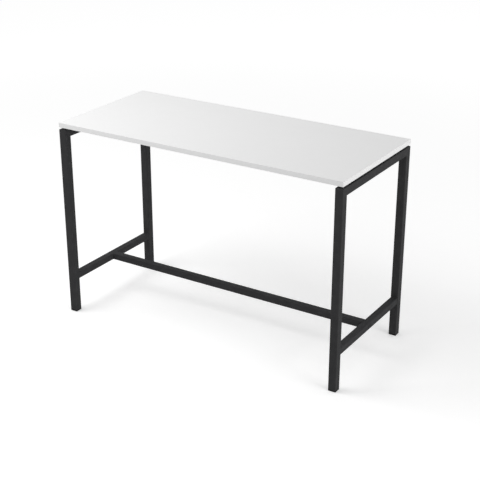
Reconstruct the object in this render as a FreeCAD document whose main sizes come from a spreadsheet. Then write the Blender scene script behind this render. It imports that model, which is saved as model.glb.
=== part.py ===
"""Standing meeting table: a white edged worktop on a square steel tube frame.

Two welded side frames (two legs, an upper and a lower rail each) are joined by a low stretcher and two
beams under the worktop.  The worktop floats on spacers above the frame, and each leg ends in a plastic
insert with a levelling glide.  X runs along the table, Y from front to back and Z up; the origin is on
the floor under the middle of the worktop.
"""
import FreeCAD, Part
import math
import os
import Sketcher

# Driving sizes in millimetres, written once.  Everything else is worked out from them.
SIZES = {
    # worktop
    "topLength": 1600.0,
    "topDepth": 700.0,
    "topHeight": 1050.0,
    "boardThickness": 25.0,
    "edgingThickness": 2.0,
    "edgingRound": 1.5,
    "shadowGap": 10.0,
    # leg and upper rail tube
    "legSize": 40.0,
    "legWall": 2.0,
    # lower rail and stretcher tube
    "lowTubeSize": 35.0,
    "lowTubeWall": 2.0,
    "lowTubeHeight": 182.0,
    # beam tube under the worktop
    "beamWidth": 20.0,
    "beamHeight": 40.0,
    "beamWall": 2.0,
    "beamSpacing": 340.0,
    "tubeInnerRound": 0.5,
    # worktop fixings
    "railFixingPitch": 250.0,
    "beamFixingPitch": 480.0,
    "spacerDiameter": 28.0,
    "topScrewEngagement": 10.0,
    "insertDiameter": 10.0,
    "insertLength": 13.0,
    "insertHoleDepth": 15.0,
    # beam end plates and their fixings to the upper rails
    "beamPlateWidth": 70.0,
    "beamPlateThickness": 4.0,
    "beamPlateRound": 3.0,
    "beamBoltPitch": 48.0,
    "beamBoltEngagement": 7.0,
    "rivetNutDiameter": 9.0,
    "rivetNutFlange": 13.0,
    "rivetNutLip": 1.0,
    "rivetNutBulge": 11.5,
    "rivetNutBulgeLength": 4.0,
    "rivetNutLength": 14.0,
    # stretcher end plates and their fixings through the lower rails
    "endPlateThickness": 6.0,
    "endPlateRound": 1.5,
    "stretcherBoltPitch": 18.0,
    "stretcherBoltReach": 8.0,
    "accessHoleDiameter": 12.0,
    "plugDiameter": 16.0,
    "plugThickness": 1.5,
    "plugStemLength": 5.0,
    "plugStemWall": 1.4,
    # M6 screws and bolts
    "smallThread": 6.0,
    "buttonHeadDiameter": 10.5,
    "buttonHeadHeight": 3.3,
    "buttonSocket": 4.0,
    "buttonSocketDepth": 2.0,
    "capHeadDiameter": 10.0,
    "capHeadHeight": 6.0,
    "capSocket": 5.0,
    "capSocketDepth": 3.0,
    "hexHeadFlats": 10.0,
    "hexHeadHeight": 4.0,
    # leg-end inserts and levelling glides, M8
    "glideThread": 8.0,
    "glideTravel": 12.0,
    "glideStandoff": 2.0,
    "footFlangeHeight": 6.0,
    "footPlugLength": 32.0,
    "footPlugRound": 1.5,
    "footRecessDiameter": 33.0,
    "glideStopGap": 0.4,
    "nutFlats": 13.0,
    "nutHeight": 6.5,
    "padDiameter": 30.0,
    "padRimHeight": 4.0,
    "padChamfer": 1.0,
    "padBossDiameter": 18.0,
    "padHeight": 7.0,
    "padFloor": 2.0,
    "padLip": 0.9,
    "padMouthDiameter": 9.2,
    "studHeadDiameter": 12.0,
    "studHexHeight": 5.0,
    "studHexGap": 0.6,
    "studReserve": 6.0,
    "studTipChamfer": 1.0,
    # clearances, measured on the radius or on one side
    "screwClearance": 0.3,
    "threadClearance": 0.05,
    "pressClearance": 0.05,
    "socketClearance": 0.1,
    "pivotClearance": 0.08,
}

# How far a cutting outline runs past the solid that it cuts.
CUT_MARGIN = 5.0


class Size:
    """A length that carries both its number and the expression that ties it to the sheet."""

    def __init__(self, value, text):
        self.value = value
        self.text = text

    def __add__(self, other):
        other = as_size(other)
        return Size(self.value + other.value, f"({self.text} + {other.text})")

    def __sub__(self, other):
        other = as_size(other)
        return Size(self.value - other.value, f"({self.text} - {other.text})")

    def __mul__(self, factor):
        return Size(self.value * factor, f"{self.text} * ({factor!r})")

    def __truediv__(self, divisor):
        return Size(self.value / divisor, f"{self.text} / {divisor!r}")

    def __neg__(self):
        return self * -1

    __rmul__ = __mul__


def as_size(value):
    """A plain number as a Size that depends on no cell."""
    return value if isinstance(value, Size) else Size(value, repr(value))


def smaller(first, second):
    """The lesser of two sizes, which limits a rounding to the thickness that carries it."""
    return Size(min(first.value, second.value), f"min({first.text}; {second.text})")


doc = FreeCAD.newDocument("StandingTable")
sheet = doc.addObject("Spreadsheet::Sheet", "Sizes")
for row, (alias, number) in enumerate(SIZES.items(), start=1):
    sheet.set(f"A{row}", alias)
    sheet.set(f"B{row}", str(number))
    sheet.setAlias(f"B{row}", alias)
doc.recompute()

size = {alias: Size(number, f"Sizes.{alias}") for alias, number in SIZES.items()}
ZERO = Size(0.0, "0")


# ---------------------------------------------------------------------------------------------------
# Sketch and feature helpers
# ---------------------------------------------------------------------------------------------------

def new_body(name, x=ZERO, y=ZERO, z=ZERO, turned=False):
    """A body whose own origin sits at x, y, z; a turned one is spun half a turn about the table's Z."""
    body = doc.addObject("PartDesign::Body", name)
    body.Label = name
    body.AllowCompound = True
    if turned:
        x, y = -x, -y
        body.Placement.Rotation = FreeCAD.Rotation(FreeCAD.Vector(0, 0, 1), 180)
    for axis, distance in (("x", x), ("y", y), ("z", z)):
        body.setExpression(f"Placement.Base.{axis}", distance.text)
    return body


def new_sketch(body, plane, offset=ZERO):
    """A sketch on one of the body's origin planes, moved along that plane's normal."""
    support = next(f for f in body.Origin.OriginFeatures if f.Role == plane)
    sketch = body.newObject("Sketcher::SketchObject", f"{body.Name}_sketch")
    sketch.AttachmentSupport = [(support, "")]
    sketch.MapMode = "FlatFace"
    sketch.setExpression("AttachmentOffset.Base.z", offset.text)
    return sketch


def constrain(sketch, kind, *references):
    sketch.addConstraint(Sketcher.Constraint(kind, *references))


def measure(sketch, kind, references, length):
    """A dimension that follows the sheet."""
    index = sketch.addConstraint(Sketcher.Constraint(kind, *references, length.value))
    sketch.setExpression(f"Constraints[{index}]", length.text)


def locate(sketch, geometry, point, x, y):
    """Ties a point of the sketch to its distances from the sketch's origin."""
    measure(sketch, "DistanceX", (-1, 1, geometry, point), x)
    measure(sketch, "DistanceY", (-1, 1, geometry, point), y)


def add_circle(sketch, x, y, diameter):
    centre = FreeCAD.Vector(x.value, y.value, 0)
    index = sketch.addGeometry(Part.Circle(centre, FreeCAD.Vector(0, 0, 1), diameter.value / 2))
    locate(sketch, index, 3, x, y)
    measure(sketch, "Diameter", (index,), diameter)


def add_polygon(sketch, points):
    """A closed outline of straight lines through the given points."""
    first = sketch.GeometryCount
    count = len(points)
    for index, (x, y) in enumerate(points):
        next_x, next_y = points[(index + 1) % count]
        start = FreeCAD.Vector(x.value, y.value, 0)
        end = FreeCAD.Vector(next_x.value, next_y.value, 0)
        sketch.addGeometry(Part.LineSegment(start, end))
    for index, (x, y) in enumerate(points):
        constrain(sketch, "Coincident", first + index, 2, first + (index + 1) % count, 1)
        locate(sketch, first + index, 1, x, y)


def add_hexagon(sketch, x, y, flats):
    """A regular hexagon about x, y, given its size across the flats."""
    corner = 1 / math.sqrt(3)
    corners = [(corner * math.cos(math.radians(turn)), corner * math.sin(math.radians(turn)))
               for turn in range(0, 360, 60)]
    add_polygon(sketch, [(x + flats * along, y + flats * across) for along, across in corners])


def add_rounded_rectangle(sketch, width, height, radius):
    """A rectangle about the sketch's origin, its four corners rounded alike."""
    w, h, r = width.value / 2, height.value / 2, radius.value
    normal = FreeCAD.Vector(0, 0, 1)
    sides = (
        ((w, r - h), (w, h - r), (w - r, h - r)),
        ((w - r, h), (r - w, h), (r - w, h - r)),
        ((-w, h - r), (-w, r - h), (r - w, r - h)),
        ((r - w, -h), (w - r, -h), (w - r, r - h)),
    )
    first = sketch.GeometryCount
    for quarter, (start, end, centre) in enumerate(sides):
        sketch.addGeometry(Part.LineSegment(FreeCAD.Vector(*start, 0), FreeCAD.Vector(*end, 0)))
        circle = Part.Circle(FreeCAD.Vector(*centre, 0), normal, r)
        sketch.addGeometry(Part.ArcOfCircle(circle, quarter * math.pi / 2, (quarter + 1) * math.pi / 2))
    for quarter in range(4):
        side, arc = first + 2 * quarter, first + 2 * quarter + 1
        constrain(sketch, "Tangent", side, 2, arc, 1)
        constrain(sketch, "Tangent", arc, 2, first + (2 * quarter + 2) % 8, 1)
        constrain(sketch, "Vertical" if quarter % 2 == 0 else "Horizontal", side)
    for arc in (first + 3, first + 5, first + 7):
        constrain(sketch, "Equal", first + 1, arc)
    constrain(sketch, "Symmetric", first + 1, 3, first + 5, 3, -1, 1)
    measure(sketch, "DistanceX", (first + 4, 1, first, 1), width)
    measure(sketch, "DistanceY", (first + 6, 1, first + 2, 1), height)
    measure(sketch, "Radius", (first + 1,), radius)


def add_tube_section(sketch, width, height, wall):
    """The section of a rectangular tube: outer and inner outline."""
    inner_round = size["tubeInnerRound"]
    add_rounded_rectangle(sketch, width, height, inner_round + wall)
    add_rounded_rectangle(sketch, width - wall * 2, height - wall * 2, inner_round)


def pad(body, sketch, length, backwards=False, both_ways=False):
    """Adds material along the sketch's normal, against it, or half each way."""
    feature = body.newObject("PartDesign::Pad", f"{body.Name}_pad")
    feature.Profile = sketch
    feature.setExpression("Length", length.text)
    feature.Reversed = backwards
    feature.SideType = "Symmetric" if both_ways else "One side"
    return feature


def pocket(body, sketch, depth=None, forwards=False, both_ways=False):
    """Removes material against the sketch's normal, along it or both ways; no depth cuts right through."""
    feature = body.newObject("PartDesign::Pocket", f"{body.Name}_pocket")
    feature.Profile = sketch
    if depth is None:
        feature.Type = "ThroughAll"
    else:
        feature.setExpression("Length", depth.text)
    feature.Reversed = forwards
    feature.SideType = "Symmetric" if both_ways else "One side"
    return feature


def revolve(body, sketch):
    """A full turn of the sketch about the body's Z axis."""
    feature = body.newObject("PartDesign::Revolution", f"{body.Name}_revolution")
    feature.Profile = sketch
    feature.ReferenceAxis = (sketch, ["V_Axis"])
    feature.Angle = 360
    return feature


def tube(body, plane, width, height, wall, length, both_ways=True):
    """A straight tube along the plane's normal, centred on the body's origin or starting there."""
    sketch = new_sketch(body, plane)
    add_tube_section(sketch, width, height, wall)
    return pad(body, sketch, length, both_ways=both_ways)


# ---------------------------------------------------------------------------------------------------
# Places that several pieces share
# ---------------------------------------------------------------------------------------------------

half_length = size["topLength"] / 2
half_depth = size["topDepth"] / 2
board_underside = size["topHeight"] - size["boardThickness"]
frame_top = board_underside - size["shadowGap"]
foot_top = size["glideStandoff"] + size["footFlangeHeight"]
side_x = -half_length + size["legSize"] / 2
leg_y = half_depth - size["legSize"] / 2
low_tube_z = size["lowTubeHeight"] + size["lowTubeSize"] / 2
upper_rail_z = frame_top - size["legSize"] / 2
beam_y = size["beamSpacing"] / 2
beam_z = frame_top - size["beamHeight"] / 2
upper_rail_face = -half_length + size["legSize"]
beam_plate_face = upper_rail_face + size["rivetNutLip"]
low_rail_face = side_x + size["lowTubeSize"] / 2
low_rail_outer_face = side_x - size["lowTubeSize"] / 2

screw_hole = size["smallThread"] + size["screwClearance"] * 2
thread_bore = size["smallThread"] + size["threadClearance"] * 2
glide_bore = size["glideThread"] + size["threadClearance"] * 2

# Worktop fixings, three along each upper rail and three along each beam, and what their screws grip.
STEPS = (-1, 0, 1)
RAIL_FIXINGS = [(side_x * side, size["railFixingPitch"] * step) for side in (1, -1) for step in STEPS]
BEAM_FIXINGS = [(size["beamFixingPitch"] * step, beam_y * side) for side in (1, -1) for step in STEPS]
TOP_FIXINGS = RAIL_FIXINGS + BEAM_FIXINGS
SCREW_GRIPS = ((RAIL_FIXINGS, size["legSize"]), (BEAM_FIXINGS, size["beamHeight"]))

# Bolts that run along X: their distances along Y from the middle of the piece that they hold.
STRETCHER_BOLTS = [size["stretcherBoltPitch"] / 2 * side for side in (-1, 1)]
PLATE_BOLTS = [size["beamBoltPitch"] / 2 * side for side in (-1, 1)]
RAIL_BOLTS = [beam_y * beam + bolt for beam in (-1, 1) for bolt in PLATE_BOLTS]

FEET = {
    "front_left": (side_x, -leg_y),
    "front_right": (-side_x, -leg_y),
    "back_left": (side_x, leg_y),
    "back_right": (-side_x, leg_y),
}


# ---------------------------------------------------------------------------------------------------
# Worktop: faced chipboard with a plastic edging on each side
# ---------------------------------------------------------------------------------------------------

def make_worktop_board():
    """The board, with blind holes in its underside for the screwed inserts."""
    body = new_body("worktop_board", z=board_underside)
    reach_x = half_length - size["edgingThickness"]
    reach_y = half_depth - size["edgingThickness"]
    outline = new_sketch(body, "XY_Plane")
    add_polygon(outline, [(-reach_x, -reach_y), (reach_x, -reach_y), (reach_x, reach_y), (-reach_x, reach_y)])
    pad(body, outline, size["boardThickness"])
    holes = new_sketch(body, "XY_Plane")
    for x, y in TOP_FIXINGS:
        add_circle(holes, x, y, size["insertDiameter"])
    pocket(body, holes, size["insertHoleDepth"], forwards=True)


def make_edging(name, along_x, turned):
    """A strip glued to the front or left side of the board (back or right when turned).

    The long strips run the whole length and the short ones fit between them.  The arrises that face
    outwards are rounded, those against the board and against the other strips are not.
    """
    body = new_body(name, z=board_underside, turned=turned)
    run = half_length if along_x else half_depth - size["edgingThickness"]
    outer_face = half_depth if along_x else half_length
    inner_face = outer_face - size["edgingThickness"]
    corners = [(-run, -outer_face), (run, -outer_face), (run, -inner_face), (-run, -inner_face)]
    if not along_x:
        corners = [(x, y) for y, x in reversed(corners)]
    outline = new_sketch(body, "XY_Plane")
    add_polygon(outline, corners)
    strip = pad(body, outline, size["boardThickness"])
    doc.recompute()

    rounded = []
    for index, edge in enumerate(strip.Shape.Edges, start=1):
        start, end = (vertex.Point for vertex in edge.Vertexes)
        is_level = abs(start.z - end.z) < 1e-6
        is_outer = all(abs((p.y if along_x else p.x) + outer_face.value) < 1e-6 for p in (start, end))
        is_end = along_x and abs(start.x - end.x) < 1e-6
        if (is_outer and (is_level or is_end)) or (is_end and is_level):
            rounded.append(f"Edge{index}")
    fillet = body.newObject("PartDesign::Fillet", f"{body.Name}_fillet")
    fillet.Base = (strip, rounded)
    fillet.setExpression("Radius", smaller(size["edgingRound"], size["edgingThickness"]).text)


# ---------------------------------------------------------------------------------------------------
# Side frames: square steel tube, mitred at the top corners and welded
# ---------------------------------------------------------------------------------------------------

def make_leg(name, x, turned):
    """A leg, mitred at the top against the end of the upper rail."""
    body = new_body(name, x, -leg_y, foot_top, turned)
    length = frame_top - foot_top
    tube(body, "XY_Plane", size["legSize"], size["legSize"], size["legWall"], length, both_ways=False)
    half = size["legSize"] / 2
    shoulder = length - size["legSize"]
    mitre = new_sketch(body, "YZ_Plane")
    add_polygon(mitre, [
        (-half, length),
        (half, shoulder),
        (half + CUT_MARGIN, shoulder),
        (half + CUT_MARGIN, length + CUT_MARGIN),
        (-half, length + CUT_MARGIN),
    ])
    pocket(body, mitre, both_ways=True)


def make_upper_rail(name, turned):
    """The rail under the end of the worktop, mitred to both legs and bored for screws and rivet nuts."""
    body = new_body(name, side_x, ZERO, upper_rail_z, turned)
    tube(body, "XZ_Plane", size["legSize"], size["legSize"], size["legWall"], size["topDepth"])
    half = size["legSize"] / 2
    mitres = new_sketch(body, "YZ_Plane")
    for end in (-1, 1):
        add_polygon(mitres, [
            (half_depth * end, half),
            ((half_depth - size["legSize"]) * end, -half),
            ((half_depth - size["legSize"]) * end, -half - CUT_MARGIN),
            ((half_depth + CUT_MARGIN) * end, -half - CUT_MARGIN),
            ((half_depth + CUT_MARGIN) * end, half),
        ])
    pocket(body, mitres, both_ways=True)
    screw_holes = new_sketch(body, "XY_Plane")
    for step in STEPS:
        add_circle(screw_holes, ZERO, size["railFixingPitch"] * step, screw_hole)
    pocket(body, screw_holes, both_ways=True)
    nut_holes = new_sketch(body, "YZ_Plane")
    for y in RAIL_BOLTS:
        add_circle(nut_holes, y, beam_z - upper_rail_z, size["rivetNutDiameter"] + size["pressClearance"] * 2)
    pocket(body, nut_holes, forwards=True)


def make_lower_rail(name, turned):
    """The rail between the legs that carries the stretcher: bolt holes inside, access holes outside."""
    body = new_body(name, side_x, ZERO, low_tube_z, turned)
    length = size["topDepth"] - size["legSize"] * 2
    tube(body, "XZ_Plane", size["lowTubeSize"], size["lowTubeSize"], size["lowTubeWall"], length)
    bolt_holes = new_sketch(body, "YZ_Plane")
    access_holes = new_sketch(body, "YZ_Plane")
    for y in STRETCHER_BOLTS:
        add_circle(bolt_holes, y, ZERO, screw_hole)
        add_circle(access_holes, y, ZERO, size["accessHoleDiameter"])
    pocket(body, bolt_holes, forwards=True)
    pocket(body, access_holes)


# ---------------------------------------------------------------------------------------------------
# Stretcher between the lower rails, bolted through them
# ---------------------------------------------------------------------------------------------------

def make_stretcher():
    body = new_body("stretcher", z=low_tube_z)
    length = low_rail_face * -2
    tube(body, "YZ_Plane", size["lowTubeSize"], size["lowTubeSize"], size["lowTubeWall"], length)


def make_stretcher_end_plate(name, turned):
    """A tapped plate welded inside the end of the stretcher, flush with it."""
    body = new_body(name, low_rail_face, ZERO, low_tube_z, turned)
    width = size["lowTubeSize"] - size["lowTubeWall"] * 2 - size["socketClearance"] * 2
    outline = new_sketch(body, "YZ_Plane")
    add_rounded_rectangle(outline, width, width, size["endPlateRound"])
    for y in STRETCHER_BOLTS:
        add_circle(outline, y, ZERO, thread_bore)
    pad(body, outline, size["endPlateThickness"])


def make_stretcher_bolts(name, turned):
    """Two cap screws, their heads inside the lower rail, that pull the stretcher against it."""
    body = new_body(name, low_rail_face - size["lowTubeWall"], ZERO, low_tube_z, turned)
    shanks = new_sketch(body, "YZ_Plane")
    heads = new_sketch(body, "YZ_Plane")
    sockets = new_sketch(body, "YZ_Plane", -size["capHeadHeight"])
    for y in STRETCHER_BOLTS:
        add_circle(shanks, y, ZERO, size["smallThread"])
        add_circle(heads, y, ZERO, size["capHeadDiameter"])
        add_hexagon(sockets, y, ZERO, size["capSocket"])
    reach = size["lowTubeWall"] + size["endPlateThickness"] + size["stretcherBoltReach"]
    pad(body, shanks, reach)
    pad(body, heads, size["capHeadHeight"], backwards=True)
    pocket(body, sockets, size["capSocketDepth"], forwards=True)


def make_access_plugs(name, turned):
    """Two plastic plugs that close the access holes in the outside of the lower rail."""
    body = new_body(name, low_rail_outer_face, ZERO, low_tube_z, turned)
    discs = new_sketch(body, "YZ_Plane")
    stems = new_sketch(body, "YZ_Plane")
    stem = size["accessHoleDiameter"] - size["socketClearance"] * 2
    for y in STRETCHER_BOLTS:
        add_circle(discs, y, ZERO, size["plugDiameter"])
        add_circle(stems, y, ZERO, stem)
        add_circle(stems, y, ZERO, stem - size["plugStemWall"] * 2)
    pad(body, discs, size["plugThickness"], backwards=True)
    pad(body, stems, size["plugStemLength"])


# ---------------------------------------------------------------------------------------------------
# Beams under the worktop, bolted between the upper rails
# ---------------------------------------------------------------------------------------------------

def make_beam(name, side):
    """A flat-sided tube that stops the worktop sagging between the side frames."""
    body = new_body(name, y=beam_y * side, z=beam_z)
    length = (beam_plate_face + size["beamPlateThickness"]) * -2
    tube(body, "YZ_Plane", size["beamWidth"], size["beamHeight"], size["beamWall"], length)
    screw_holes = new_sketch(body, "XY_Plane")
    for step in STEPS:
        add_circle(screw_holes, size["beamFixingPitch"] * step, ZERO, screw_hole)
    pocket(body, screw_holes, both_ways=True)


def make_beam_plate(name, y, turned):
    """The plate welded across the end of a beam."""
    body = new_body(name, beam_plate_face, y, beam_z, turned)
    outline = new_sketch(body, "YZ_Plane")
    add_rounded_rectangle(outline, size["beamPlateWidth"], size["beamHeight"], size["beamPlateRound"])
    for bolt in PLATE_BOLTS:
        add_circle(outline, bolt, ZERO, screw_hole)
    pad(body, outline, size["beamPlateThickness"])


def make_rivet_nuts(name, turned):
    """Four threaded sleeves crimped into the inner wall of the upper rail."""
    body = new_body(name, upper_rail_face, ZERO, beam_z, turned)
    flanges = new_sketch(body, "YZ_Plane")
    sleeves = new_sketch(body, "YZ_Plane")
    bulges = new_sketch(body, "YZ_Plane", -size["legWall"])
    bores = new_sketch(body, "YZ_Plane")
    for y in RAIL_BOLTS:
        add_circle(flanges, y, ZERO, size["rivetNutFlange"])
        add_circle(sleeves, y, ZERO, size["rivetNutDiameter"])
        add_circle(bulges, y, ZERO, size["rivetNutBulge"])
        add_circle(bores, y, ZERO, thread_bore)
    pad(body, flanges, size["rivetNutLip"])
    pad(body, sleeves, size["rivetNutLength"], backwards=True)
    pad(body, bulges, size["rivetNutBulgeLength"], backwards=True)
    pocket(body, bores, both_ways=True)


def make_beam_bolts(name, turned):
    """Four hexagon bolts through the beam plates into the rivet nuts."""
    body = new_body(name, beam_plate_face + size["beamPlateThickness"], ZERO, beam_z, turned)
    shanks = new_sketch(body, "YZ_Plane")
    heads = new_sketch(body, "YZ_Plane")
    for y in RAIL_BOLTS:
        add_circle(shanks, y, ZERO, size["smallThread"])
        add_hexagon(heads, y, ZERO, size["hexHeadFlats"])
    reach = size["beamPlateThickness"] + size["rivetNutLip"] + size["beamBoltEngagement"]
    pad(body, shanks, reach, backwards=True)
    pad(body, heads, size["hexHeadHeight"])


# ---------------------------------------------------------------------------------------------------
# Worktop fixings: screw from below, spacer in the gap, insert in the board
# ---------------------------------------------------------------------------------------------------

def make_top_spacers():
    body = new_body("top_spacers", z=frame_top)
    rings = new_sketch(body, "XY_Plane")
    for x, y in TOP_FIXINGS:
        add_circle(rings, x, y, size["spacerDiameter"])
        add_circle(rings, x, y, screw_hole)
    pad(body, rings, size["shadowGap"])


def make_top_screws():
    """Button-head screws; each runs up through its tube and spacer into an insert."""
    body = new_body("top_screws", z=frame_top)
    for places, grip in SCREW_GRIPS:
        shanks = new_sketch(body, "XY_Plane", -grip)
        heads = new_sketch(body, "XY_Plane", -grip)
        sockets = new_sketch(body, "XY_Plane", -grip - size["buttonHeadHeight"])
        for x, y in places:
            add_circle(shanks, x, y, size["smallThread"])
            add_circle(heads, x, y, size["buttonHeadDiameter"])
            add_hexagon(sockets, x, y, size["buttonSocket"])
        pad(body, shanks, grip + size["shadowGap"] + size["topScrewEngagement"])
        pad(body, heads, size["buttonHeadHeight"], backwards=True)
        pocket(body, sockets, size["buttonSocketDepth"], forwards=True)


def make_top_inserts():
    body = new_body("top_inserts", z=board_underside)
    sleeves = new_sketch(body, "XY_Plane")
    for x, y in TOP_FIXINGS:
        add_circle(sleeves, x, y, size["insertDiameter"] - size["pressClearance"] * 2)
        add_circle(sleeves, x, y, thread_bore)
    pad(body, sleeves, size["insertLength"])


# ---------------------------------------------------------------------------------------------------
# Leg ends: plastic insert, captive nut and levelling glide
# ---------------------------------------------------------------------------------------------------

hex_foot = size["padHeight"] + size["studHexGap"]
hex_top = hex_foot + size["studHexHeight"]
insert_top = foot_top + size["footPlugLength"]


def make_foot_insert(name, x, y):
    """A moulded insert: its flange closes the tube, and the glide is drawn up into its recess."""
    body = new_body(name, x, y, foot_top)
    flange = new_sketch(body, "XY_Plane")
    outer_round = size["tubeInnerRound"] + size["legWall"]
    add_rounded_rectangle(flange, size["legSize"], size["legSize"], outer_round)
    pad(body, flange, size["footFlangeHeight"], backwards=True)
    plug = new_sketch(body, "XY_Plane")
    width = size["legSize"] - size["legWall"] * 2 - size["socketClearance"] * 2
    add_rounded_rectangle(plug, width, width, size["footPlugRound"])
    pad(body, plug, size["footPlugLength"])
    recess = new_sketch(body, "XY_Plane", -size["footFlangeHeight"])
    add_circle(recess, ZERO, ZERO, size["footRecessDiameter"])
    pocket(body, recess, hex_top + size["glideStopGap"] - size["glideStandoff"], forwards=True)
    bore = new_sketch(body, "XY_Plane")
    add_circle(bore, ZERO, ZERO, glide_bore)
    pocket(body, bore, both_ways=True)
    nut_seat = new_sketch(body, "XY_Plane", size["footPlugLength"])
    add_hexagon(nut_seat, ZERO, ZERO, size["nutFlats"] + size["socketClearance"] * 2)
    pocket(body, nut_seat, size["nutHeight"])


def make_foot_nuts():
    """The steel nuts pressed into the tops of the leg-end inserts."""
    body = new_body("foot_nuts", z=insert_top - size["nutHeight"])
    outline = new_sketch(body, "XY_Plane")
    for x, y in FEET.values():
        add_hexagon(outline, x, y, size["nutFlats"])
        add_circle(outline, x, y, glide_bore)
    pad(body, outline, size["nutHeight"])


def make_glide_pad(name, x, y):
    """The plastic pad that stands on the floor, with a socket in which the stud's head turns."""
    body = new_body(name, x, y)
    rim = size["padDiameter"] / 2
    boss = size["padBossDiameter"] / 2
    mouth = size["padMouthDiameter"] / 2
    socket = size["studHeadDiameter"] / 2 + size["pivotClearance"]
    lip_foot = size["padHeight"] - size["padLip"]
    section = new_sketch(body, "XZ_Plane")
    add_polygon(section, [
        (ZERO, ZERO),
        (rim - size["padChamfer"], ZERO),
        (rim, size["padChamfer"]),
        (rim, size["padRimHeight"]),
        (boss, size["padRimHeight"]),
        (boss, size["padHeight"]),
        (mouth, size["padHeight"]),
        (mouth, lip_foot),
        (socket, lip_foot),
        (socket, size["padFloor"]),
        (ZERO, size["padFloor"]),
    ])
    revolve(body, section)


def make_glide_stud(name, x, y):
    """The steel stud: a round head held in the pad, a hexagon for the spanner and the thread above."""
    body = new_body(name, x, y)
    head = size["studHeadDiameter"] / 2
    thread = size["glideThread"] / 2
    tip = insert_top + size["glideTravel"] + size["studReserve"]
    head_top = size["padHeight"] - size["padLip"] - size["pivotClearance"]
    head_foot = size["padFloor"] + size["threadClearance"]
    section = new_sketch(body, "XZ_Plane")
    add_polygon(section, [
        (ZERO, head_foot),
        (head, head_foot),
        (head, head_top),
        (thread, head_top),
        (thread, tip - size["studTipChamfer"]),
        (thread - size["studTipChamfer"], tip),
        (ZERO, tip),
    ])
    revolve(body, section)
    hexagon = new_sketch(body, "XY_Plane", hex_foot)
    add_hexagon(hexagon, ZERO, ZERO, size["nutFlats"])
    pad(body, hexagon, size["studHexHeight"])


# ---------------------------------------------------------------------------------------------------
# The whole table
# ---------------------------------------------------------------------------------------------------

make_worktop_board()
make_edging("edging_front", along_x=True, turned=False)
make_edging("edging_back", along_x=True, turned=True)
make_edging("edging_left", along_x=False, turned=False)
make_edging("edging_right", along_x=False, turned=True)

make_leg("leg_front_left", side_x, turned=False)
make_leg("leg_front_right", -side_x, turned=False)
make_leg("leg_back_left", -side_x, turned=True)
make_leg("leg_back_right", side_x, turned=True)

for side_name, turned in (("left", False), ("right", True)):
    make_upper_rail(f"upper_rail_{side_name}", turned)
    make_lower_rail(f"lower_rail_{side_name}", turned)
    make_stretcher_end_plate(f"stretcher_end_plate_{side_name}", turned)
    make_stretcher_bolts(f"stretcher_bolts_{side_name}", turned)
    make_access_plugs(f"access_plugs_{side_name}", turned)
    make_rivet_nuts(f"rivet_nuts_{side_name}", turned)
    make_beam_bolts(f"beam_bolts_{side_name}", turned)

make_stretcher()
for row_name, side in (("front", -1), ("back", 1)):
    make_beam(f"beam_{row_name}", side)
    make_beam_plate(f"beam_plate_{row_name}_left", beam_y * side, turned=False)
    make_beam_plate(f"beam_plate_{row_name}_right", beam_y * -side, turned=True)

make_top_spacers()
make_top_screws()
make_top_inserts()

for foot_name, (foot_x, foot_y) in FEET.items():
    make_foot_insert(f"foot_insert_{foot_name}", foot_x, foot_y)
    make_glide_pad(f"glide_pad_{foot_name}", foot_x, foot_y)
    make_glide_stud(f"glide_stud_{foot_name}", foot_x, foot_y)
make_foot_nuts()

doc.recompute()


# ---------------------------------------------------------------------------------------------------
# Check every feature, then write one STEP file for each sub-part
# ---------------------------------------------------------------------------------------------------

def check_document():
    """Stops with a message if a feature failed, cut nothing or left a bad shape."""
    for item in doc.Objects:
        if "Invalid" in item.State or "Error" in item.State:
            raise RuntimeError(f"{item.Name} failed: {item.State}")
    for body in bodies:
        if body.Shape.isNull() or not body.Shape.isValid():
            raise RuntimeError(f"{body.Label} has no valid shape")
        volume = 0.0
        for feature in body.Group:
            if feature.TypeId == "PartDesign::Pocket" and feature.Shape.Volume >= volume:
                raise RuntimeError(f"{feature.Name} cuts nothing")
            if feature.TypeId == "PartDesign::Pad" and feature.Shape.Volume <= volume:
                raise RuntimeError(f"{feature.Name} adds nothing")
            if feature.isDerivedFrom("PartDesign::Feature"):
                volume = feature.Shape.Volume


bodies = [item for item in doc.Objects if item.TypeId == "PartDesign::Body"]
check_document()
os.makedirs("parts", exist_ok=True)
for body in bodies:
    body.Shape.exportStep(os.path.join("parts", f"{body.Label}.step"))
    box = body.Shape.BoundBox
    print(f"{body.Label}: {len(body.Shape.Solids)} solid(s), {body.Shape.Volume / 1000:.2f} cm3, "
          f"x {box.XMin:.1f}..{box.XMax:.1f} y {box.YMin:.1f}..{box.YMax:.1f} z {box.ZMin:.1f}..{box.ZMax:.1f}")
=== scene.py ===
import math

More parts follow.
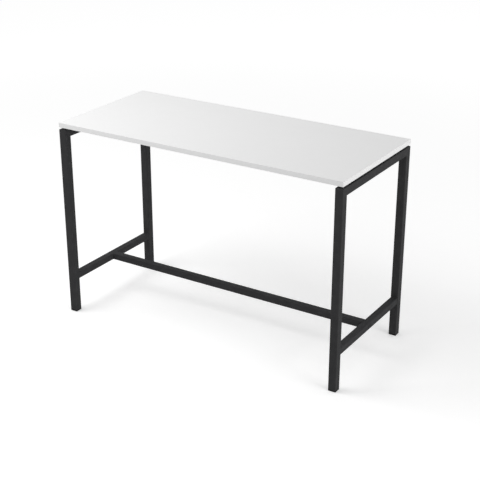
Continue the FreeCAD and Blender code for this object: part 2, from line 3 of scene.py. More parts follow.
import bmesh
import bpy
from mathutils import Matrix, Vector


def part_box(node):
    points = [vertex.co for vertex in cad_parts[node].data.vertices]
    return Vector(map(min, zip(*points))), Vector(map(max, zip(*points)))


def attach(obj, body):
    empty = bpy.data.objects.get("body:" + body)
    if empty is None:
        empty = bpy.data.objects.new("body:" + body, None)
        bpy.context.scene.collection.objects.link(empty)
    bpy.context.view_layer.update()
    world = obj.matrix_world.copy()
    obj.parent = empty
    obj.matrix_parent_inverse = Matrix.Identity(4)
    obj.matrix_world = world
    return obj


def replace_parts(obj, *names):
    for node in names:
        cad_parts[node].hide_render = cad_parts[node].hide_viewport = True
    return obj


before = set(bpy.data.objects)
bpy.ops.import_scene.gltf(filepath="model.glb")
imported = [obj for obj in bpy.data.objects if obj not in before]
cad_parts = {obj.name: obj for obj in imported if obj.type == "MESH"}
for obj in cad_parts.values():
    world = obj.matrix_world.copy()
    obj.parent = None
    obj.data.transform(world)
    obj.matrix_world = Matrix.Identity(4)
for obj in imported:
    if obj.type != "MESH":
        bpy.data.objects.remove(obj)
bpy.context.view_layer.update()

# ---------------------------------------------------------------------------------------------------
# Legs and upper rails: square steel tube, mitred and welded into a flat portal at each end. The seam
# is ground flush, so the outside of each corner is rounded off a little; the black powder coat runs
# over tube and seam alike.
# ---------------------------------------------------------------------------------------------------

MM = 0.001  # in metres, as Blender's lengths are; the sizes of the pieces are in millimetres
CORNERS = ("front_left", "front_right", "back_left", "back_right")
SIDES = ("left", "right")
GROUND_ARRIS = 1.5
ARRIS_FACETS = 5
SHARP = math.radians(28)
SAME_POINT = 0.001
# the share of the coat's colour that is painted glints and painted shade of its grain
PAINTED_GLINT_SHARE = 0.6


def linear(colour):
    """The linear RGBA of an sRGB colour written as #rrggbb."""
    levels = [int(colour[i:i + 2], 16) / 255 for i in (1, 3, 5)]
    return [v / 12.92 if v <= 0.04045 else ((v + 0.055) / 1.055) ** 2.4 for v in levels] + [1.0]


def add(tree, kind, inputs=None, **settings):
    """A new node of the tree, with its settings, and its inputs set to values or linked to sockets."""
    made = tree.nodes.new(kind)
    for name, value in settings.items():
        setattr(made, name, value)
    for name, value in (inputs or {}).items():
        if isinstance(value, bpy.types.NodeSocket):
            tree.links.new(value, made.inputs[name])
        else:
            made.inputs[name].default_value = value
    return made


def new_material(name, colour, roughness, metallic=0.0, ior=1.5):
    """A material of one plain Principled shader: the material, its tree and the shader."""
    made = bpy.data.materials.new(name)
    made.use_nodes = True
    shader = made.node_tree.nodes["Principled BSDF"]
    shader.inputs["Base Color"].default_value = linear(colour)
    shader.inputs["Roughness"].default_value = roughness
    shader.inputs["Metallic"].default_value = metallic
    if not metallic:
        shader.inputs["IOR"].default_value = ior
    return made, made.node_tree, shader


def noise(tree, size, detail=2.0, drawn_out=(1.0, 1.0, 1.0)):
    """Noise whose blotches are about that many millimetres across, fixed to the piece, and may be drawn
    out that many times along X, Y and Z."""
    place = add(tree, "ShaderNodeTexCoord").outputs["Object"]
    narrowed = [1 / times for times in drawn_out]
    drawn = add(tree, "ShaderNodeMapping", {"Vector": place, "Scale": narrowed}).outputs[0]
    return add(tree, "ShaderNodeTexNoise", {
        "Vector": drawn, "Scale": 1 / (size * MM), "Detail": detail}).outputs[0]


def vary_colour(tree, shader, pattern, dark, light):
    """The pattern turns the shader's colour from dark to light."""
    mixed = add(tree, "ShaderNodeMix", {0: pattern, 6: linear(dark), 7: linear(light)}, data_type="RGBA")
    tree.links.new(mixed.outputs[2], shader.inputs["Base Color"])


def vary_roughness(tree, shader, pattern, low, high):
    """The pattern turns the shader's roughness from low to high."""
    spread = add(tree, "ShaderNodeMapRange", {"Value": pattern, "To Min": low, "To Max": high})
    tree.links.new(spread.outputs[0], shader.inputs["Roughness"])


def emboss(tree, shader, reliefs):
    """Bumps one on another, each a pattern and its height in millimetres."""
    normal = None
    for pattern, height in reliefs:
        inputs = {"Height": pattern, "Distance": height * MM, "Strength": 1.0}
        if normal is not None:
            inputs["Normal"] = normal
        normal = add(tree, "ShaderNodeBump", inputs).outputs[0]
    tree.links.new(normal, shader.inputs["Normal"])


def powder_coated_steel():
    """Black polyester powder, sprayed on and stoved: nearly matt, with an orange peel of 2 to 3 mm over a
    fine sand grain. The grain, about 0.3 mm on the real coat, is drawn at 0.7 mm so that it shows. Its colour
    is mottled at random, and speckled at the grain with painted glints and painted shade that stand for the
    grain's highlights and hollows."""
    made, tree, shader = new_material("black_powder_coated_steel", "#373738", 0.56)
    shader.inputs["Specular IOR Level"].default_value = 0.02
    grain = noise(tree, 0.7, detail=1.0)
    # Painted glints and painted shade: the grain, made harsher, speckles the colour light and dark, mixed
    # with a random 45 mm mottle.
    painted_grain_glints_and_shade = add(tree, "ShaderNodeMapRange", {"Value": grain, "From Min": 0.3, "From Max": 0.7}).outputs[0]
    mottle_and_painted_grain_glints = add(tree, "ShaderNodeMix", {0: PAINTED_GLINT_SHARE, 2: noise(tree, 45.0), 3: painted_grain_glints_and_shade}).outputs[0]
    vary_colour(tree, shader, mottle_and_painted_grain_glints, "#262627", "#464647")
    vary_roughness(tree, shader, noise(tree, 9.0), 0.5, 0.62)
    emboss(tree, shader, [(noise(tree, 2.6, detail=0.0), 0.05), (grain, 0.15)])
    return made


def skin_of(node):
    """The node's shape as one skin: its loose triangles joined along their edges."""
    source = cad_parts[node].data
    loose = bpy.data.meshes.new(node)
    loose.from_pydata([v.co for v in source.vertices], [], [list(f.vertices) for f in source.polygons])
    shape = bmesh.new()
    shape.from_mesh(loose)
    bpy.data.meshes.remove(loose)
    bmesh.ops.remove_doubles(shape, verts=shape.verts, dist=SAME_POINT * MM)
    return shape


def round_off(shape, axis_point, first, second, radius):
    """Takes a square arris down to a radius with a few cuts about an axis inside it, between two faces."""
    for cut in range(ARRIS_FACETS):
        angle = math.radians(90) * (cut + 0.5) / ARRIS_FACETS
        outward = math.cos(angle) * first + math.sin(angle) * second
        everything = shape.verts[:] + shape.edges[:] + shape.faces[:]
        sliced = bmesh.ops.bisect_plane(shape, geom=everything, plane_co=axis_point + radius * outward,
                                        plane_no=outward, clear_outer=True)
        rim = [part for part in sliced["geom_cut"] if isinstance(part, bmesh.types.BMEdge)]
        bmesh.ops.edgeloop_fill(shape, edges=rim)


def bake(piece):
    """Works the piece's modifiers out into its mesh and removes them."""
    graph = bpy.context.evaluated_depsgraph_get()
    mesh = bpy.data.meshes.new_from_object(piece.evaluated_get(graph), depsgraph=graph)
    piece.modifiers.clear()
    piece.data = mesh


def settle(piece, body="table", sharp=SHARP):
    """Shades the piece flat on its faces and smooth over its roundings, and lets it ride on a body."""
    piece.data.shade_smooth()
    piece.data.set_sharp_from_angle(angle=sharp)
    even = piece.modifiers.new("flat_faces_shade_flat", "WEIGHTED_NORMAL")
    even.keep_sharp = True
    even.weight = 100
    bake(piece)
    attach(piece, body)
    return piece


def stand_for(node, shape, finishes, body="table"):
    """A finished piece, made of a closed shape, that stands for a CAD node."""
    mesh = bpy.data.meshes.new(node)
    shape.to_mesh(mesh)
    shape.free()
    for finish in finishes:
        mesh.materials.append(finish)
    piece = bpy.data.objects.new(f"finished_{node}", mesh)
    bpy.context.scene.collection.objects.link(piece)
    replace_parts(settle(piece, body), node)


coat = powder_coated_steel()
UP = Vector((0, 0, 1))
low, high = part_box("upper_rail_left")
for node in [f"leg_{corner}" for corner in CORNERS] + [f"upper_rail_{side}" for side in SIDES]:
    shape = skin_of(node)
    for end, way in ((low, -1), (high, 1)):
        outward = Vector((0, way, 0))
        axis = Vector((0, end.y, high.z)) - GROUND_ARRIS * MM * (outward + UP)
        round_off(shape, axis, outward, UP, GROUND_ARRIS * MM)
    stand_for(node, shape, [coat])


# ---------------------------------------------------------------------------------------------------
# Lower rails: square steel tube, one size slimmer than the legs, sawn square and set between them
# near the floor. They keep the crisp drawn corners of the tube and wear the same coat.
# ---------------------------------------------------------------------------------------------------

def dress(nodes, finish):
    """The CAD nodes take a finish in place of the plain one."""
    for node in nodes:
        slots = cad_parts[node].data.materials
        slots.clear()
        slots.append(finish)


dress([f"lower_rail_{side}" for side in SIDES], coat)


# ---------------------------------------------------------------------------------------------------
# Welds of the end frames: TIG beads round the ends of the lower rails and across the inner corners
# under the upper rails. They were laid before coating, so the powder covers their ripples.
# ---------------------------------------------------------------------------------------------------

BEAD_RADIUS = 1.6
BEAD_SIDES = 12
RIPPLE_PITCH = 2.4
RIPPLE_STEPS = 4
RIPPLE_DEPTH = 0.22  # a share of the bead's radius
HAND_WAVER = 7.0
RAIL_ROUND = 2.5
CORNER_STEPS = 4
BEAD_SHARP = math.radians(80)


def geometry_tree(name, sizes):
    """A Geometry Nodes tree that takes a mesh and these named inputs: the tree and its inputs."""
    tree = bpy.data.node_groups.new(name, "GeometryNodeTree")
    tree.interface.new_socket("Geometry", in_out="OUTPUT", socket_type="NodeSocketGeometry")
    for label, kind in {"Geometry": "Geometry", **sizes}.items():
        tree.interface.new_socket(label, in_out="INPUT", socket_type=f"NodeSocket{kind}")
    return tree, add(tree, "NodeGroupInput").outputs


def weld_bead():
    """A bead along every edge of a mesh. Its width rises and falls with each dip of the filler rod."""
    tree, given = geometry_tree("weld_bead", {
        "Bead Radius": "Float", "Ripple Pitch": "Float", "Ripple Depth": "Float",
        "Seed": "Float", "Finish": "Material"})
    path = add(tree, "GeometryNodeMeshToCurve", {"Mesh": given["Geometry"]})
    step = add(tree, "ShaderNodeMath", {0: given["Ripple Pitch"], 1: RIPPLE_STEPS}, operation="DIVIDE")
    even = add(tree, "GeometryNodeResampleCurve", {"Curve": path.outputs[0], "Length": step.outputs[0]},
               mode="LENGTH")
    along = add(tree, "GeometryNodeSplineParameter").outputs["Length"]
    dips = add(tree, "ShaderNodeMath", {0: along, 1: given["Ripple Pitch"]}, operation="DIVIDE")
    turned_to = add(tree, "ShaderNodeMath", {0: dips.outputs[0], 1: math.tau}, operation="MULTIPLY")
    wave = add(tree, "ShaderNodeMath", {0: turned_to.outputs[0]}, operation="SINE")
    hand = add(tree, "ShaderNodeTexNoise", {"W": given["Seed"], "Scale": 1 / (HAND_WAVER * MM)},
               noise_dimensions="4D")
    uneven = add(tree, "ShaderNodeMath", {0: wave.outputs[0], 1: hand.outputs[0]}, operation="MULTIPLY")
    narrow = add(tree, "ShaderNodeMath", {0: uneven.outputs[0], 1: given["Ripple Depth"]},
                 operation="MULTIPLY")
    scale = add(tree, "ShaderNodeMath", {0: 1.0, 1: narrow.outputs[0]}, operation="SUBTRACT")
    section = add(tree, "GeometryNodeCurvePrimitiveCircle", {
        "Resolution": BEAD_SIDES, "Radius": given["Bead Radius"]})
    bead = add(tree, "GeometryNodeCurveToMesh", {
        "Curve": even.outputs[0], "Profile Curve": section.outputs[0], "Scale": scale.outputs[0],
        "Fill Caps": True})
    real = add(tree, "GeometryNodeRealizeInstances", {"Geometry": bead.outputs[0]})
    done = add(tree, "GeometryNodeSetMaterial", {"Geometry": real.outputs[0], "Material": given["Finish"]})
    add(tree, "NodeGroupOutput", {0: done.outputs[0]})
    return tree


def grown(name, mesh, tree, values):
    """A new piece whose mesh is what the tree makes of the given one."""
    piece = bpy.data.objects.new(name, mesh)
    bpy.context.scene.collection.objects.link(piece)
    maker = piece.modifiers.new(tree.name, "NODES")
    maker.node_group = tree
    for socket in tree.interface.items_tree:
        if socket.name in values:
            maker[socket.identifier] = values[socket.name]
    bake(piece)
    return piece


def welded(name, paths, seed):
    """A group of beads of the frame, each along a path of points that may be closed."""
    shape = bmesh.new()
    for points, closed in paths:
        verts = [shape.verts.new(point) for point in points]
        for a, b in zip(verts, verts[1:] + verts[:1] if closed else verts[1:]):
            shape.edges.new((a, b))
    mesh = bpy.data.meshes.new(name)
    shape.to_mesh(mesh)
    shape.free()
    sizes = {"Bead Radius": BEAD_RADIUS * MM, "Ripple Pitch": RIPPLE_PITCH * MM, "Ripple Depth": RIPPLE_DEPTH,
             "Seed": seed, "Finish": coat}
    piece = grown(name, mesh, bead_tree, sizes)
    settle(piece, sharp=BEAD_SHARP)


def round_square(low, high, y):
    """Points round a tube's outer skin, from its lowest to its highest corner in X and Z, at one Y."""
    corner = RAIL_ROUND * MM
    points = []
    for turn, (x, z) in enumerate(((high.x, high.z), (low.x, high.z), (low.x, low.z), (high.x, low.z))):
        inward = Vector((math.copysign(corner, low.x + high.x - 2 * x), 0,
                         math.copysign(corner, low.z + high.z - 2 * z)))
        for step in range(CORNER_STEPS + 1):
            angle = math.radians(90) * (turn + step / CORNER_STEPS)
            rim = corner * Vector((math.cos(angle), 0, math.sin(angle)))
            points.append(Vector((x, y, z)) + inward + rim)
    return points


bead_tree = weld_bead()
for seed, side in enumerate(SIDES):
    low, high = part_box(f"lower_rail_{side}")
    under_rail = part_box(f"upper_rail_{side}")[0].z
    paths = []
    for y in (low.y, high.y):
        paths.append((round_square(low, high, y), True))
        paths.append(([Vector((low.x, y, under_rail)), Vector((high.x, y, under_rail))], False))
    welded(f"frame_welds_{side}", paths, seed)


# ---------------------------------------------------------------------------------------------------
# The stretcher, tube like the lower rails, with a tapped plate welded into each end. Two cap screws,
# their heads inside the lower rail, draw each end tight against it.
# ---------------------------------------------------------------------------------------------------

def zinc_plated_steel():
    """Steel, electroplated with zinc and passivated blue: bright grey with faint cloudy patches."""
    made, tree, shader = new_material("zinc_plated_steel", "#b4b7ba", 0.34, metallic=1.0)
    vary_colour(tree, shader, noise(tree, 4.0), "#a6aaaf", "#c2c4c4")
    vary_roughness(tree, shader, noise(tree, 2.0), 0.28, 0.42)
    emboss(tree, shader, [(noise(tree, 0.5, detail=1.0), 0.003)])
    return made


zinc = zinc_plated_steel()
dress(["stretcher"] + [f"stretcher_end_plate_{side}" for side in SIDES], coat)
dress([f"stretcher_bolts_{side}" for side in SIDES], zinc)


# ---------------------------------------------------------------------------------------------------
# Access plugs: shallow domed caps, moulded in polypropylene as black as the frame, pushed into the
# holes through which the stretcher's screws are driven. Their hollow stem grips the tube wall.
# ---------------------------------------------------------------------------------------------------

PLUG_SIDES = 40
PLUG_RADIUS = 8.0
PLUG_THICKNESS = 1.5
PLUG_CROWN = 0.35
PLUG_DOME = (0.0, 0.35, 0.7)  # shares of the dome's radius
PLUG_RIM = 0.6
PLUG_STEM_RADIUS = 5.9
PLUG_BORE_RADIUS = 4.5
PLUG_STEM_CHAMFER = 0.4


def moulded_plastic(name, dark, light, specular):
    """Polypropylene, injection moulded in a spark-eroded tool: matt, with a fine even grain. The grain,
    0.1 to 0.2 mm on the real part, is drawn at 0.5 mm."""
    made, tree, shader = new_material(name, dark, 0.6, ior=1.49)
    shader.inputs["Specular IOR Level"].default_value = specular
    vary_colour(tree, shader, noise(tree, 12.0), dark, light)
    vary_roughness(tree, shader, noise(tree, 5.0), 0.52, 0.64)
    emboss(tree, shader, [(noise(tree, 0.5, detail=1.0), 0.012)])
    return made


def ring(shape, radius, height, sides):
    """Points round Z, in millimetres. The radius and the height are numbers, or functions of the angle."""
    points = []
    for step in range(sides):
        angle = math.tau * step / sides
        out = radius(angle) if callable(radius) else radius
        up = height(angle) if callable(height) else height
        points.append(shape.verts.new(MM * Vector((out * math.cos(angle), out * math.sin(angle), up))))
    return points


def turned(shape, profile, sides):
    """The skin of a profile turned round Z, from one ring to the next."""
    rings = [ring(shape, radius, height, sides) for radius, height in profile]
    for lower, upper in zip(rings, rings[1:]):
        for a, b, c, d in zip(lower, lower[1:] + lower[:1], upper[1:] + upper[:1], upper):
            shape.faces.new((a, b, c, d))


def arc(radius, height, size, start, end, steps=4):
    """Profile points round a centre, from one angle to another, in degrees from outwards to up."""
    angles = [math.radians(start + (end - start) * step / steps) for step in range(steps + 1)]
    return [(radius + size * math.cos(angle), height + size * math.sin(angle)) for angle in angles]


def closed(shape):
    """Joins the shape's seams and poles, and turns its faces outwards."""
    bmesh.ops.remove_doubles(shape, verts=shape.verts, dist=SAME_POINT * MM)
    bmesh.ops.recalc_face_normals(shape, faces=shape.faces)
    return shape


def solids_of(node):
    """The lowest and highest corner of each separate solid of a node, always in the same order."""
    shape = skin_of(node)
    left = set(shape.verts)
    corners = []
    while left:
        found = [left.pop()]
        for vert in found:
            near = {edge.other_vert(vert) for edge in vert.link_edges} & left
            left -= near
            found.extend(near)
        ends = [[pick(vert.co[axis] for vert in found) for axis in range(3)] for pick in (min, max)]
        corners.append([Vector(end) for end in ends])
    shape.free()
    return sorted(corners, key=lambda pair: [round(c, 5) for c in pair[0]])


def fixings():
    """A copy of one part on every point, facing one way, and each turned about its own axis by chance."""
    tree, given = geometry_tree("fixings_in_their_holes", {
        "Part": "Object", "Facing": "Vector", "Spin": "Float", "Seed": "Int", "Finish": "Material"})
    part = add(tree, "GeometryNodeObjectInfo", {"Object": given["Part"], "As Instance": True})
    facing = add(tree, "FunctionNodeEulerToRotation", {"Euler": given["Facing"]})
    stood = add(tree, "GeometryNodeInstanceOnPoints", {
        "Points": given["Geometry"], "Instance": part.outputs["Geometry"], "Rotation": facing.outputs[0]})
    chance = add(tree, "FunctionNodeRandomValue", {"Seed": given["Seed"]})
    tree.links.new(given["Spin"], chance.inputs[3])
    about = add(tree, "ShaderNodeCombineXYZ", {"Z": chance.outputs[1]})
    spun = add(tree, "GeometryNodeRotateInstances", {
        "Instances": stood.outputs[0], "Rotation": about.outputs[0], "Local Space": True})
    real = add(tree, "GeometryNodeRealizeInstances", {"Geometry": spun.outputs[0]})
    done = add(tree, "GeometryNodeSetMaterial", {"Geometry": real.outputs[0], "Material": given["Finish"]})
    add(tree, "NodeGroupOutput", {0: done.outputs[0]})
    return tree


fixings_tree = fixings()
FACING = {"up": (0.0, 0.0, 0.0), "down": (math.pi, 0.0, 0.0),
          "left": (0.0, -math.pi / 2, 0.0), "right": (0.0, math.pi / 2, 0.0)}
TOWARDS = {"up": UP, "down": -UP, "left": Vector((-1, 0, 0)), "right": Vector((1, 0, 0))}


def fitted(node, part, facing, finish, spin=0.0, seed=0):
    """Stands a part, whose outer end is at the origin and whose axis is Z, where each solid of a node is."""
    template = bpy.data.objects.new("template", bpy.data.meshes.new("template"))
    closed(part).to_mesh(template.data)
    part.free()
    template.data.materials.append(finish)
    points = bpy.data.meshes.new(node)
    outer_ends = []
    for low, high in solids_of(node):
        half = (high - low) / 2
        outer_ends.append(low + half + Vector([a * b for a, b in zip(half, TOWARDS[facing])]))
    points.from_pydata(outer_ends, [], [])
    piece = grown(f"finished_{node}", points, fixings_tree, {
        "Part": template, "Facing": FACING[facing], "Spin": spin, "Seed": seed, "Finish": finish})
    bpy.data.objects.remove(template)
    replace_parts(settle(piece), node)


def access_plug():
    """A domed cap over a hollow stem with a chamfered end."""
    low, high = solids_of("access_plugs_left")[0]
    end = (low.x - high.x) / MM
    flat = PLUG_RADIUS - PLUG_RIM
    dome = [(flat * share, -PLUG_CROWN * share ** 2) for share in PLUG_DOME]
    rim = arc(flat, -PLUG_CROWN - PLUG_RIM, PLUG_RIM, 90, 0) + [(PLUG_RADIUS, -PLUG_THICKNESS)]
    stem = [(PLUG_STEM_RADIUS, -PLUG_THICKNESS), (PLUG_STEM_RADIUS, end + PLUG_STEM_CHAMFER),
            (PLUG_STEM_RADIUS - PLUG_STEM_CHAMFER, end)]
    bore = [(PLUG_BORE_RADIUS, end), (PLUG_BORE_RADIUS, -PLUG_THICKNESS), (0.0, -PLUG_THICKNESS)]
    part = bmesh.new()
    turned(part, dome + rim + stem + bore, PLUG_SIDES)
    return part


plug_plastic = moulded_plastic("moulded_polypropylene_frame_black", "#323233", "#363637", 0.02)
for side in SIDES:
    fitted(f"access_plugs_{side}", access_plug(), side, plug_plastic)


# ---------------------------------------------------------------------------------------------------
# Beams: two flat-sided tubes under the worktop that keep it from sagging, with a plate welded on each
# end. The beads run down both sides of the beam, and all of it is coated with the frame.
# ---------------------------------------------------------------------------------------------------

dress(["beam_front", "beam_back"] + [f"beam_plate_{corner}" for corner in CORNERS], coat)
for seed, row in enumerate(("front", "back"), start=len(SIDES)):
    low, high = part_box(f"beam_{row}")
    sides = [(x, y) for x in (low.x, high.x) for y in (low.y, high.y)]
    paths = [([Vector((x, y, low.z + BEAD_RADIUS * MM)), Vector((x, y, high.z - BEAD_RADIUS * MM))], False)
             for x, y in sides]
    welded(f"beam_welds_{row}", paths, seed)


# ---------------------------------------------------------------------------------------------------
# Bolts of the beams: M6 hexagon bolts, zinc plated, through each plate into rivet nuts in the upper
# rail's inner wall. Each was left at the angle at which it came tight.
# ---------------------------------------------------------------------------------------------------

BOLT_SIDES = 24
M6_DIAMETER = 6.0
M6_PITCH = 1.0
THREAD_DEPTH = 0.613  # this, the two flats and the run-out are shares of a thread's pitch
THREAD_ROOT_FLAT = 0.25
THREAD_CREST_FLAT = 0.125
RUN_OUT = 0.75
HEX_FLATS = 10.0
HEX_HEIGHT = 4.0
HEX_FACE = 0.475  # the radius of a hexagon's round face, a share of its size across flats
HEX_CHAMFER = math.tan(math.radians(30))
BOLT_TIP = 0.8


def hexagon(flats):
    """The radius of a hexagon of that size across its flats, at any angle."""
    sixth = math.radians(60)
    return lambda angle: flats / 2 / math.cos((angle + sixth / 2) % sixth - sixth / 2)


def chamfer_of(flats, face, way):
    """The height of a hexagon's edge, where a chamfer falls from its round face towards the corners. The
    way is 1 for a face that looks up and -1 for one that looks down."""
    return lambda angle: face - way * (hexagon(flats)(angle) - HEX_FACE * flats) * HEX_CHAMFER


def threaded(shape, diameter, pitch, low, high, sides):
    """A right-hand metric thread between two heights, run out to its root at both."""
    depth = THREAD_DEPTH * pitch
    flank = (1 - THREAD_ROOT_FLAT - THREAD_CREST_FLAT) / 2
    crest_start = THREAD_ROOT_FLAT + flank
    ridge = ((0.0, 0.0), (THREAD_ROOT_FLAT, 0.0), (crest_start, 1.0), (crest_start + THREAD_CREST_FLAT, 1.0))
    turns = math.ceil((high - low) / pitch) + 2
    columns = []
    for step in range(sides * turns + 1):
        angle = math.tau * step / sides
        column = []
        for share, crest in ridge:
            up = min(max(low + pitch * (step / sides + share - 1), low), high)
            run_out = min((up - low) / (RUN_OUT * pitch), (high - up) / (RUN_OUT * pitch), 1.0)
            out = diameter / 2 - depth + depth * crest * run_out
            column.append(shape.verts.new(MM * Vector((out * math.cos(angle), out * math.sin(angle), up))))
        columns.append(column)
    for step in range(sides * (turns - 1)):
        near = columns[step] + columns[step + sides][:1]
        after = columns[step + 1] + columns[step + 1 + sides][:1]
        for a, b, c, d in zip(near, after, after[1:], near[1:]):
            shape.faces.new((a, b, c, d))


def shank(shape, under_head, end):
    """An M6 thread from under a head down to a chamfered end, and the radius of its root."""
    root = M6_DIAMETER / 2 - THREAD_DEPTH * M6_PITCH
    threaded(shape, M6_DIAMETER, M6_PITCH, end + BOLT_TIP, under_head, BOLT_SIDES)
    turned(shape, [(root, end + BOLT_TIP), (root - BOLT_TIP / 2, end), (0.0, end)], BOLT_SIDES)
    return root


def beam_bolt():
    """A fully threaded bolt whose hexagon is chamfered on top."""
    low, high = solids_of("beam_bolts_left")[0]
    part = bmesh.new()
    root = shank(part, -HEX_HEIGHT, (low.x - high.x) / MM)
    across = hexagon(HEX_FLATS)
    turned(part, [(0.0, 0.0), (HEX_FACE * HEX_FLATS, 0.0), (across, chamfer_of(HEX_FLATS, 0.0, 1)),
                  (across, -HEX_HEIGHT), (root, -HEX_HEIGHT)], BOLT_SIDES)
    return part


dress([f"rivet_nuts_{side}" for side in SIDES], zinc)
for seed, (side, facing) in enumerate((("left", "right"), ("right", "left"))):
    fitted(f"beam_bolts_{side}", beam_bolt(), facing, zinc, math.tau, seed)


# ---------------------------------------------------------------------------------------------------
# The worktop board: three-layer chipboard, faced on both sides with white melamine and cut to size.
# The saw leaves the facing's edges broken by a hair, which shows as a fine line along the edging.
# ---------------------------------------------------------------------------------------------------

BROKEN_EDGE = 0.25
OUTLINE_BAND = 1.0
OFF_LEVEL = 0.01


def melamine_face():
    """White decor paper soaked in melamine resin and pressed hot against a pearl-grained plate: hard,
    satin, faintly uneven in gloss. The pearl, 0.4 mm on the real board, is drawn at 1.2 mm."""
    made, tree, shader = new_material("white_melamine_face", "#ebebeb", 0.42)
    vary_colour(tree, shader, noise(tree, 60.0, detail=4.0), "#eaeaea", "#ececec")
    vary_roughness(tree, shader, noise(tree, 14.0), 0.38, 0.48)
    emboss(tree, shader, [(noise(tree, 1.2, detail=1.0), 0.04)])
    return made


def sawn_chipboard():
    """Sawn chipboard: glued wood chips 1 to 3 mm long, straw to brown, dull and open-pored."""
    made, tree, shader = new_material("sawn_chipboard", "#b9986b", 0.85)
    vary_colour(tree, shader, noise(tree, 2.0, detail=4.0), "#9c7a4e", "#cfb487")
    vary_roughness(tree, shader, noise(tree, 3.0), 0.78, 0.92)
    emboss(tree, shader, [(noise(tree, 1.0, detail=3.0), 0.15)])
    return made


def soften(shape, edges, size, segments=1):
    """Breaks or rounds these edges, in millimetres."""
    bmesh.ops.bevel(shape, geom=edges, offset=size * MM, segments=segments, profile=0.5, affect="EDGES")


def outline_edges(shape, node, heights):
    """The sharp level edges at these heights that run close along the sides of the node's box."""
    low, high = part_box(node)

    def outer(vert):
        gaps = [min(vert.co[axis] - low[axis], high[axis] - vert.co[axis]) for axis in (0, 1)]
        off = min(abs(vert.co.z - height) for height in heights)
        return min(gaps) < OUTLINE_BAND * MM and off < OFF_LEVEL * MM

    return [edge for edge in shape.edges if edge.calc_face_angle(0.0) > SHARP and all(map(outer, edge.verts))]


melamine = melamine_face()
low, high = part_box("worktop_board")
board = skin_of("worktop_board")
soften(board, outline_edges(board, "worktop_board", (low.z, high.z)), BROKEN_EDGE)
for face in board.faces:
    middle = face.calc_center_median().z
    face.material_index = 0 if min(middle - low.z, high.z - middle) < BROKEN_EDGE * MM else 1
stand_for("worktop_board", board, [melamine, sawn_chipboard()])


# ---------------------------------------------------------------------------------------------------
# Edging: 2 mm strips of extruded ABS, glued on hot with a hair-thin joint, scraped flush and rounded
# along both arrises. The long strips run over the ends of the short ones.
# ---------------------------------------------------------------------------------------------------

SCRAPE = 90.0  # how many times longer than wide the marks are


def extruded_edging():
    """White ABS, extruded and scraped: a shade darker and glossier than the board's face, with fine marks
    along its length. The marks, 0.2 mm apart on the real strip, are drawn at 0.7 mm."""
    made, tree, shader = new_material("white_extruded_abs", "#e8e8e8", 0.3, ior=1.53)
    marks = noise(tree, 0.7, drawn_out=(SCRAPE, SCRAPE, 1.0))
    vary_colour(tree, shader, marks, "#e5e5e5", "#ebebeb")
    vary_roughness(tree, shader, noise(tree, 6.0), 0.24, 0.34)
    emboss(tree, shader, [(marks, 0.02)])
    return made


edging = extruded_edging()
dress([f"edging_{side}" for side in ("front", "back", "left", "right")], edging)


# ---------------------------------------------------------------------------------------------------
# Spacers: moulded black rings with rounded rims, one at each fixing, that hold the worktop a finger's
# width off the frame, so that only a shadow gap shows.
# ---------------------------------------------------------------------------------------------------

SPACER_SIDES = 48
SPACER_RADIUS = 14.0
SPACER_BORE_RADIUS = 3.3
SPACER_ROUND = 1.0
SPACER_CHAMFER = 0.4


def spacer():
    """A thick ring, rounded outside and chamfered at the bore."""
    low, high = solids_of("top_spacers")[0]
    deep = (low.z - high.z) / MM
    flat = SPACER_RADIUS - SPACER_ROUND
    mouth = SPACER_BORE_RADIUS + SPACER_CHAMFER
    upper_mouth = [(SPACER_BORE_RADIUS, -SPACER_CHAMFER), (mouth, 0.0)]
    upper_rim = arc(flat, -SPACER_ROUND, SPACER_ROUND, 90, 0)
    lower_rim = arc(flat, deep + SPACER_ROUND, SPACER_ROUND, 0, -90)
    lower_mouth = [(mouth, deep), (SPACER_BORE_RADIUS, deep + SPACER_CHAMFER)]
    part = bmesh.new()
    turned(part, upper_mouth + upper_rim + lower_rim + lower_mouth + upper_mouth[:1], SPACER_SIDES)
    return part


plastic = moulded_plastic("moulded_polypropylene_deep_black", "#0d0d0d", "#121212", 0.04)
fitted("top_spacers", spacer(), "up", plastic)


# ---------------------------------------------------------------------------------------------------
# Screws of the worktop: M6 button-head screws, zinc plated, driven up through the frame and the
# spacers into threaded inserts in the board.
# ---------------------------------------------------------------------------------------------------

BUTTON_RADIUS = 5.25
BUTTON_HEIGHT = 3.3
BUTTON_RIM = 0.4
BUTTON_FACE_RADIUS = 2.6
DOME_STEPS = 6
SOCKET_FLATS = 4.0
SOCKET_DEPTH = 2.0
SOCKET_MOUTH = 0.25
SOCKET_CONE = 0.3


def button_screw():
    """A low domed head with a hexagon socket, on a fully threaded shank."""
    low, high = solids_of("top_screws")[0]
    dome_height = BUTTON_HEIGHT - BUTTON_RIM
    dome = []
    for step in range(1, DOME_STEPS + 1):
        angle = math.radians(90) * step / DOME_STEPS
        dome.append((BUTTON_FACE_RADIUS + (BUTTON_RADIUS - BUTTON_FACE_RADIUS) * math.sin(angle),
                     -dome_height * (1 - math.cos(angle))))
    across = hexagon(SOCKET_FLATS)
    socket = [(0.0, -SOCKET_DEPTH - SOCKET_CONE), (across, -SOCKET_DEPTH), (across, -SOCKET_MOUTH),
              (BUTTON_FACE_RADIUS, 0.0)]
    part = bmesh.new()
    root = shank(part, -BUTTON_HEIGHT, (low.z - high.z) / MM)
    under_head = [(BUTTON_RADIUS, -BUTTON_HEIGHT), (root, -BUTTON_HEIGHT)]
    turned(part, socket + dome + under_head, BOLT_SIDES)
    return part


dress(["top_inserts"], zinc)
fitted("top_screws", button_screw(), "down", zinc, math.tau, len(SIDES))


# ---------------------------------------------------------------------------------------------------
# Leg ends: moulded inserts pushed into each leg, with a flange that covers the tube's sawn edge and
# shows as a dark line at the floor. An M8 nut sits in the top of each.
# ---------------------------------------------------------------------------------------------------

